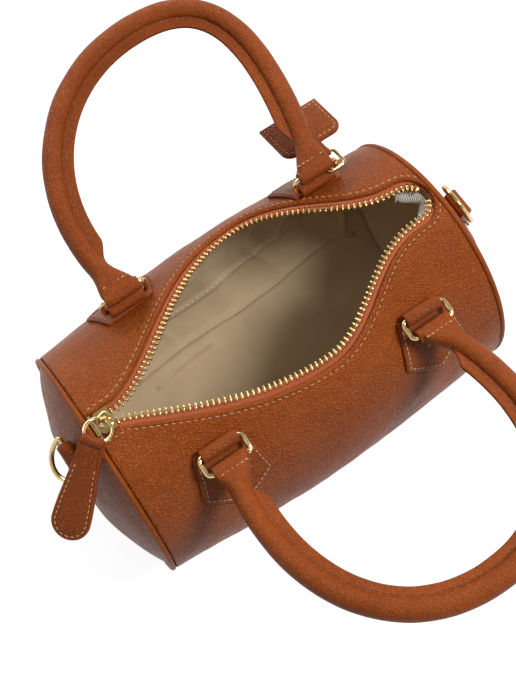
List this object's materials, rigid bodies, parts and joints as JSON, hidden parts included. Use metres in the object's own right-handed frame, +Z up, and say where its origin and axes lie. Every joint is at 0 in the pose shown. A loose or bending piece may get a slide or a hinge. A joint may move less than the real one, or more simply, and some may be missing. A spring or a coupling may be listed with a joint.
{
  "type": "leather handbag",
  "caption": "Small barrel handbag in pebbled leather, zip open, with two rolled handles on wire rings, a stitched puller, strap rings on both ends and a hanging tag.",
  "frame": {"origin": "middle of the flat underside, between the two ends and between the front and the back", "axes": "+X runs along the bag from the zip slider to the far end, +Y points to the back, +Z up"},
  "size_m": [0.2592, 0.3341, 0.1581],
  "materials": {
    "cognac_leather": "pebbled",
    "beige_lining": "woven",
    "board": "matte",
    "rust_tape": "woven",
    "gold_teeth": "satin",
    "pale_gold": "polished",
    "striped_tape": "woven",
    "handle_core": "corded"
  },
  "bodies": {
    "bag": {"back_panel": "cognac_leather", "base_board": "board", "base_panel": "cognac_leather", "front_left_patch": "cognac_leather", "front_panel": "cognac_leather", "front_right_patch": "cognac_leather", "front_zip_tape": "rust_tape", "front_zip_teeth": "gold_teeth", "left_d_ring_tab": "cognac_leather", "left_end_panel": "cognac_leather", "left_piping": "cognac_leather", "lining": "beige_lining", "lining_left_end": "beige_lining", "lining_right_end": "beige_lining", "rear_left_patch": "cognac_leather", "rear_right_patch": "cognac_leather", "rear_zip_tape": "rust_tape", "rear_zip_teeth": "gold_teeth", "right_d_ring_tab": "cognac_leather", "right_end_panel": "cognac_leather", "right_piping": "cognac_leather", "slip_pocket": "beige_lining", "zip_bottom_stop": "pale_gold", "zip_end_tab": "striped_tape"},
    "front_rings": {"front_left_ring": "pale_gold", "front_right_ring": "pale_gold"},
    "front_handle": {"front_handle_cover": "cognac_leather", "front_handle_core": "handle_core", "front_handle_left_tongue": "cognac_leather", "front_handle_right_tongue": "cognac_leather"},
    "rear_rings": {"rear_left_ring": "pale_gold", "rear_right_ring": "pale_gold"},
    "rear_handle": {"rear_handle_cover": "cognac_leather", "rear_handle_core": "handle_core", "rear_handle_left_tongue": "cognac_leather", "rear_handle_right_tongue": "cognac_leather"},
    "slider": {"zip_slider": "pale_gold"},
    "pull_ring": {"pull_ring": "pale_gold"},
    "puller": {"zip_puller": "cognac_leather"},
    "left_d_ring": {"left_d_ring": "pale_gold"},
    "right_d_ring": {"right_d_ring": "pale_gold"},
    "tag_link": {"tag_link": "pale_gold"},
    "tag": {"hanging_tag": "cognac_leather"}
  },
  "joints": [
    {"name": "front_rings_swing", "type": "hinge", "parent": "bag", "child": "front_rings", "pos_m": [0, -0.03866, 0.11294], "axis": [-1, 0, 0], "range_deg": [0, 50]},
    {"name": "front_handle_swing", "type": "hinge", "parent": "front_rings", "child": "front_handle", "pos_m": [0, -0.04809, 0.11178], "axis": [-1, 0, 0], "range_deg": [0, 40]},
    {"name": "rear_rings_swing", "type": "hinge", "parent": "bag", "child": "rear_rings", "pos_m": [0, 0.04789, 0.10809], "axis": [1, 0, 0], "range_deg": [0, 40]},
    {"name": "rear_handle_swing", "type": "hinge", "parent": "rear_rings", "child": "rear_handle", "pos_m": [0, 0.04986, 0.11738], "axis": [1, 0, 0], "range_deg": [0, 45]},
    {"name": "slider_slide", "type": "slide", "parent": "bag", "child": "slider", "axis": [1, 0, 0], "range_m": [0, 0.003]},
    {"name": "pull_ring_swing", "type": "hinge", "parent": "slider", "child": "pull_ring", "pos_m": [-0.0938, 0, 0.12142], "axis": [-0.5736, 0.8192, 0], "range_deg": [0, 75]},
    {"name": "puller_swing", "type": "hinge", "parent": "pull_ring", "child": "puller", "pos_m": [-0.10377, -0.00698, 0.12537], "axis": [-0.5736, 0.8192, 0], "range_deg": [0, 60]},
    {"name": "left_d_ring_swing", "type": "hinge", "parent": "bag", "child": "left_d_ring", "pos_m": [-0.11517, 0, 0.09997], "axis": [0, 1, 0], "range_deg": [-30, 10]},
    {"name": "right_d_ring_swing", "type": "hinge", "parent": "bag", "child": "right_d_ring", "pos_m": [0.11517, 0, 0.09997], "axis": [0, 1, 0], "range_deg": [-10, 115]},
    {"name": "tag_link_swing", "type": "hinge", "parent": "rear_rings", "child": "tag_link", "pos_m": [0.073, 0.04888, 0.11274], "axis": [1, 0, 0], "range_deg": [-15, 8]},
    {"name": "tag_swing", "type": "hinge", "parent": "tag_link", "child": "tag", "pos_m": [0.073, 0.05719, 0.11097], "axis": [1, 0, 0], "range_deg": [-20, 15]}
  ]
}
